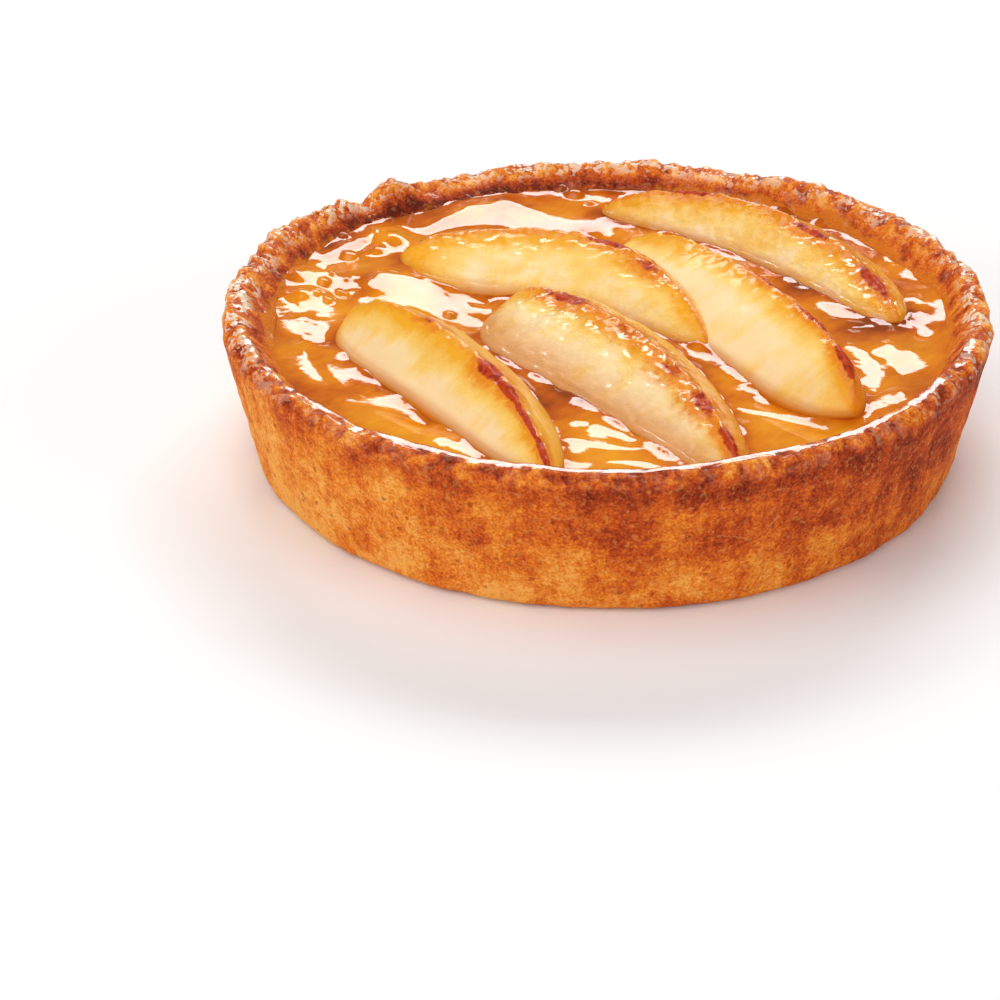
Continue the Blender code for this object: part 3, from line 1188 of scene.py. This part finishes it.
@dataclass
class TartFilling:
    """The filling, from wall to wall, creeping up the wall and the wedges.

    Bubbles and domes are pixels of the photograph, across and down, with a radius in
    millimetres. Stains and painted shade are each a place, two half-widths in millimetres
    and how much lighter it is.
    """

    level: float = 17.55 * MM
    reach: float = 48.3 * MM
    wall: float = 48.2 * MM
    underside: float = 3.7 * MM
    side: tuple[Point, ...] = ((43.0 * MM, 3.7 * MM), (44.9 * MM, 5.5 * MM), (46.1 * MM, 15 * MM))
    steps: int = 560
    radial: int = 170
    creep: float = 0.22 * MM
    creep_width: float = 0.9 * MM
    creep_waves: Rows = ((2.0, 4, 20),)
    climb: float = 1.1 * MM
    climb_width: float = 1.6 * MM
    climb_waves: Rows = ((0.5, 4, 19),)
    lumps: Point = (0.35, 13)
    waves: Rows = ((0.06, 5.5, 18),)
    rubble_rise: float = 0.45 * MM
    rubble_waves: Rows = ((1.0, 4.2, 27),)
    shade_width: float = 1.7 * MM
    # Stains, and painted shade where the filling lies in the gaps between wedges.
    stains_and_shade: tuple[tuple[float, ...], ...] = (
        (37, -0.5, 7, 5.5, -0.5), (26, 12, 6, 6, -0.25), (-4, -24, 6, 9, -0.25), (-3, -36, 6, 8, 0.2),
    )
    cloudy: Rows = ((0.1, 8, 25),)
    bubbles: Rows = (
        (324.5, 287, 1.0), (340, 293, 0.8), (350, 257, 1.4), (318, 299, 0.7), (333, 279, 0.6),
        (329, 303, 0.9), (347, 282, 0.5), (450, 309, 0.9), (575, 196, 1.5), (562, 192, 0.9),
        (590, 203, 0.8), (345, 241, 0.8),
    )
    domes: Rows = ((394, 242, 2.6), (377, 252, 1.5), (300, 300, 1.6))
    glints: tuple[Glint, ...] = (
        Glint(((376, 291, 1.4), (392, 289, 2.6), (410, 291, 2.9), (428, 298, 2.4), (450, 308, 1.9),
               (486, 316, 0.6))),
        Glint(((440, 291, 0.3), (460, 294, 0.6), (483, 298, 0.3))),
        Glint(((384, 236, 0.9), (405, 232, 1.1), (424, 233, 0.8), (446, 226, 1.1), (478, 219, 2.4),
               (510, 216, 3.6), (545, 224, 3.0), (575, 229, 1.6), (598, 233, 0.7))),
        Glint(((322, 269, 0.7), (338, 256, 1.0), (352, 250, 1.1), (366, 244, 0.8)), 1.8),
        Glint(((306, 285, 1.2), (324, 284, 2.2), (340, 287, 2.4), (352, 287, 1.4)), 2.4),
        Glint(((315, 299, 1.1), (311, 316, 0.9), (313, 338, 1.2)), 2.8),
        Glint(((308, 346, 0.5), (312, 358, 0.8), (321, 371, 0.9), (333, 382, 0.8), (348, 392, 0.5)), 0.25),
        Glint(((350, 394, 0.5), (362, 398, 1.0), (385, 404, 1.1), (406, 409, 0.9), (424, 417, 0.4)), 0.4),
        Glint(((441, 441, 0.5), (452, 450, 1.5), (462, 459, 1.9), (471, 466, 0.8))),
        Glint(((572, 441, 0.2), (590, 445, 0.4), (612, 447, 0.4), (636, 449, 0.2))),
        Glint(((562, 450, 0.7), (574, 453, 0.5)), 1.3),
        Glint(((567, 466, 0.8), (580, 466, 0.6)), 0.8),
        Glint(((610, 461, 0.2), (630, 462, 0.4), (652, 467, 0.7), (672, 472, 0.5), (695, 479, 0.2)), 1.6),
        Glint(((578, 425, 0.4), (584, 427, 0.3))),
        Glint(((596, 428, 0.4), (612, 433, 0.5), (630, 440, 0.5))),
        Glint(((697, 349, 0.8), (715, 356, 2.0), (731, 366, 2.0), (748, 379, 0.9))),
        Glint(((752, 386, 0.9), (768, 395, 1.7), (786, 404, 1.1))),
        Glint(((740, 408, 0.4), (770, 412, 0.8), (804, 418, 0.8), (826, 424, 1.0), (850, 415, 1.0),
               (872, 406, 1.3), (890, 399, 1.0), (899, 395, 0.4)), 0.7),
        Glint(((848, 349, 0.4), (861, 355, 0.7), (871, 364, 0.8), (872, 376, 0.6), (874, 389, 0.6))),
        Glint(((888, 348, 0.3), (877, 357, 0.6))),
        Glint(((907, 356, 1.0), (902, 371, 0.9)), 2.4),
        Glint(((823, 305, 0.5), (838, 312, 1.3), (856, 314, 1.3), (872, 317, 0.6))),
        Glint(((855, 327, 0.4), (870, 326, 0.3))),
        Glint(((911, 303, 0.6), (915, 316, 1.0), (919, 326, 0.7), (927, 334, 0.8)), 1.8),
        Glint(((897, 320, 0.4), (907, 326, 0.5))),
    )

    def profile(self) -> list[Point]:
        """The filling's section from the middle of its underside out, up the wall and over its top.

        Returns:
            The section's points, which start and end on the axis.
        """
        top = [(self.reach * (1 - i / self.radial), self.level) for i in range(self.radial + 1)]
        return [(0.0, self.underside), *self.side, *top]

    @staticmethod
    def rubble(plan: Array) -> Array:
        """Where the glaze has set in lumps against the back wall.

        Args:
            plan: points as rows of x and y.

        Returns:
            How much of it there is at each point, from 0 to 1.
        """
        radius = np.hypot(plan[:, 0], plan[:, 1])
        azimuth = np.degrees(np.arctan2(plan[:, 1], plan[:, 0]))
        spread = np.maximum(bell(azimuth, 52, 16), 0.8 * bell(azimuth, 88, 9))
        return smoothstep(40 * MM, 44 * MM, radius) * spread

    def raised(self, plan: Array, spots: Rows) -> list[tuple[float, Array]]:
        """Measure points of the plan against round spots.

        Args:
            plan: the points as rows of x and y.
            spots: each one's pixel, across and down, and its radius.

        Returns:
            For each spot its radius, and how many radii each point is from its middle.
        """
        found = []
        for across, down, size in spots:
            away = np.linalg.norm(plan - VIEW.plan(across, down, self.level), axis=1)
            found.append((size * MM, away / (size * MM)))
        return found

    def lay(self, plan: Array, near: Array) -> Array:
        """The height of the wet surface.

        Args:
            plan: rows of x and y.
            near: how far each is from the nearest wedge.

        Returns:
            The heights.
        """
        flat = np.column_stack([plan, np.zeros(len(plan))])
        radius = np.hypot(plan[:, 0], plan[:, 1])
        still = smoothstep(self.wall - 1 * MM, self.wall - 8 * MM, radius)
        depth, size = self.lumps
        height = self.level + still * depth * MM * bumps(flat, size * MM) + layered(flat, self.waves)
        height += WetSurface(self.level).heights(plan, self.glints)
        for size, away in self.raised(plan, self.bubbles):
            height += 0.5 * size * np.sqrt(np.clip(1 - away**2, 0, 1))
        for size, away in self.raised(plan, self.domes):
            height += 0.45 * size * bell(away, 0, 1)
        lumps = np.clip(0.3 + layered(flat, self.rubble_waves, 1), 0, 1)
        height += self.rubble_rise * lumps * self.rubble(plan)
        height += self.creep * np.exp(-near / self.creep_width) * (1 + layered(flat, self.creep_waves, 1))
        climb = self.climb + layered(flat, self.climb_waves)
        return height + climb * np.exp(-np.clip(self.wall - radius, 0, None) / self.climb_width)

    def lightness(self, plan: Array, near: Array) -> Array:
        """How much pale custard shows through the glaze, with painted shade by the wedges and between
        them.

        Args:
            plan: rows of x and y.
            near: how far each is from the nearest wedge.

        Returns:
            The lightness of each, from 0 to 1.
        """
        x, y = plan.T / MM
        light = 0.50 + 0.14 * smoothstep(-20, -44, y) + 0.10 * smoothstep(10, 40, x)
        light -= 0.12 * smoothstep(20, 40, y) + 0.22 * smoothstep(42, 47.5, np.hypot(x, y))
        # Painted shade: darker close to the wedges.
        light -= 0.3 * np.exp(-near / self.shade_width) + 0.12 * self.rubble(plan)
        for middle_x, middle_y, wide, deep, gain in self.stains_and_shade:
            light += gain * bell(x, middle_x, wide) * bell(y, middle_y, deep)
        return light + layered(np.column_stack([plan, np.zeros(len(plan))]), self.cloudy, 1)

    def build(self, wedges: tuple[AppleWedge, ...]) -> None:
        """Make the filling round the wedges.

        Args:
            wedges: what stands in it.
        """
        mesh = turned(Piece.FILLING.value[0], self.profile(), self.steps)
        points = read_points(mesh)
        top = points[:, 2] > self.level - 0.01 * MM
        plan = points[top, :2]
        near = np.min([wedge.distance(plan) for wedge in wedges], axis=0)
        points[top, 2] = self.lay(plan, near)
        write_points(mesh, points)
        light = np.full(len(points), 0.5)
        light[top] = self.lightness(plan, near)
        paint(mesh, "light", light)
        mesh.materials.append(FillingFinish().material())
        settle(mesh, Piece.FILLING, "filling")


@dataclass
class Studio:
    """A pale floor, soft studio light and the camera.

    A panel has a name, a place, its width and height in metres and how bright its face is,
    where the sky's white is 1.
    """

    floor_size: float = 6.0
    floor_drop: float = 0.1 * MM
    floor_low: Colour = srgb(244, 244, 244)
    floor_high: Colour = srgb(250, 250, 250)
    sky_colour: Colour = (1.0, 0.96, 0.9, 1.0)
    sky: float = 0.14
    panels: tuple[tuple[str, Triple, Point, float], ...] = (
        ("window", WINDOW, (0.75, 0.28), 10.0),
        ("overhead", (-0.35, -0.15, 1.3), (1.3, 1.1), 1.9),
        ("front_fill", (-0.3, -1.4, 0.75), (1.5, 0.9), 2.1),
        ("left_fill", (-1.3, -0.45, 0.5), (0.8, 0.8), 2.1),
        ("right_fill", (1.3, -0.55, 0.5), (0.8, 0.8), 2.7),
    )

    def build(self) -> None:
        """Make the whole studio."""
        self.make_camera()
        self.make_floor()
        self.make_sky()
        for panel in self.panels:
            self.make_panel(*panel)
        bpy.context.scene.view_settings.view_transform = "Standard"

    def make_camera(self) -> None:
        """Put the camera where the tart is seen from."""
        data = bpy.data.cameras.new("camera")
        data.lens = VIEW.lens
        data.sensor_width = VIEW.sensor
        data.clip_start = 0.01
        camera = bpy.data.objects.new("camera", data)
        axes = Matrix((VIEW.right, VIEW.up, tuple(-value for value in VIEW.ahead))).transposed()
        camera.matrix_world = Matrix.Translation(VIEW.eye) @ axes.to_4x4()
        bpy.context.scene.collection.objects.link(camera)
        bpy.context.scene.camera = camera

    def make_floor(self) -> None:
        """Lay the floor just under the tart."""
        bm = bmesh.new()
        bmesh.ops.create_grid(bm, x_segments=1, y_segments=1, size=self.floor_size / 2)
        bmesh.ops.translate(bm, verts=bm.verts[:], vec=(0, 0, -self.floor_drop))
        mesh = bpy.data.meshes.new("floor")
        bm.to_mesh(mesh)
        bm.free()
        mix = Recipe("pale_floor")
        colour = mix.mix(mix.mottle(0.4, 1).above(0.2, 0.8), self.floor_low, self.floor_high)
        mesh.materials.append(mix.finish({"Base Color": colour, "Roughness": 0.9}))
        floor = bpy.data.objects.new("floor", mesh)
        bpy.context.scene.collection.objects.link(floor)

    def make_sky(self) -> None:
        """Light everything evenly from all round."""
        world = bpy.data.worlds.new("studio")
        world.use_nodes = True
        world.node_tree.nodes["Background"].inputs["Color"].default_value = self.sky_colour
        world.node_tree.nodes["Background"].inputs["Strength"].default_value = self.sky
        bpy.context.scene.world = world

    def make_panel(self, name: str, place: Triple, size: Point, glow: float) -> None:
        """Hang a soft light panel that faces the tart.

        Args:
            name: the light's name.
            place: its centre in metres.
            size: its width and height in metres.
            glow: how bright its face is.
        """
        data = bpy.data.lights.new(name, "AREA")
        data.shape = "RECTANGLE"
        data.size, data.size_y = size
        data.energy = glow * math.pi * size[0] * size[1]
        panel = bpy.data.objects.new(name, data)
        panel.location = place
        panel.rotation_euler = Vector(place).to_track_quat("Z", "Y").to_euler()
        panel.visible_camera = False
        bpy.context.scene.collection.objects.link(panel)


WEDGES = (
    AppleWedge(
        1, (-35.3, -3.0), (-6.0, -48.2), 4.2, 7.8, 7.3, 6.0, (3.6, 1.9), -0.13, -0.20, -0.15,
        (
            Spot(-0.36, 0.14, 0.0, 0.7, 0.6),
            Spot(0.20, 0.11, -0.2, 1.2, 1.3),
            Spot(0.40, 0.15, -0.2, 0.8, 1.3),
            Spot(0.64, 0.19, -0.3, 0.6, 1.3),
            Spot(0.90, 0.15, -0.2, 1.1, 1.3),
        ),
        -0.05, 0.1, flank_starts=0.86,
    ),
    AppleWedge(
        2, (-12.8, 4.5), (17.1, -48.6), 4.8, 11.0, 7.6, 5.3, (4.6, 1.6), -0.35, -0.35, 0.06,
        (
            Spot(-0.64, 0.17),
            Spot(-0.20, 0.25, -0.6, 1.3, 0.55),
            Spot(0.22, 0.16, -0.8, 1.8, 0.62),
            Spot(0.52, 0.14, -0.8, 1.9, 0.85),
            Spot(0.80, 0.16, -0.5, 1.8),
        ),
        -0.05, 1.0, low_face_shade=0.95, toasted=0.75,
    ),
    AppleWedge(
        3, (-30.0, 19.0), (13.8, -9.6), 12.6, 11.4, 6.2, 5.3, (4.9, 1.6), -0.14, -0.20, 0.14,
        (
            Spot(0.07, 0.16, 0.0, 1.0, 1.2),
            Spot(0.42, 0.13, -1.0, 1.3, 0.72),
            Spot(-0.35, 0.2, 0.0, 0.8, 0.45),
        ),
        0.2, 0.7, toasted=0.6,
    ),
    AppleWedge(
        4, (3.8, 25.3), (31.9, -28.9), 4.0, 12.3, 4.4, 6.2, (2.9, 6.8), -0.35, -0.10, 0.13,
        (
            Spot(0.50, 0.22, 0.0, 0.7, 0.95),
            Spot(0.84, 0.12, 0.0, 1.3, 1.2),
            Spot(0.05, 0.25, 0.0, 0.6, 0.75),
        ),
        0.0, 0.1,
    ),
    AppleWedge(
        5, (-0.6, 38.5), (40.4, -0.4), 9.0, 7.2, 6.8, 5.2, (2.0, 1.9), 0.18, 0.08, -0.28,
        (
            Spot(-0.54, 0.13, 0.0, 0.9, 1.1),
            Spot(0.20, 0.2, -0.4, 1.0, 0.8),
            Spot(0.74, 0.16, -0.3, 1.3, 1.1),
        ),
        0.12, 1.2, toasted=0.7,
    ),
)


def main() -> None:
    """Build the tart and its studio in order."""
    logging.basicConfig(level=logging.INFO, format="%(message)s")
    Studio().build()
    TartCase().build()
    apple = AppleFinish().material()
    for wedge in WEDGES:
        wedge.build(apple)
    TartFilling().build(WEDGES)


if __name__ == "__main__":
    main()
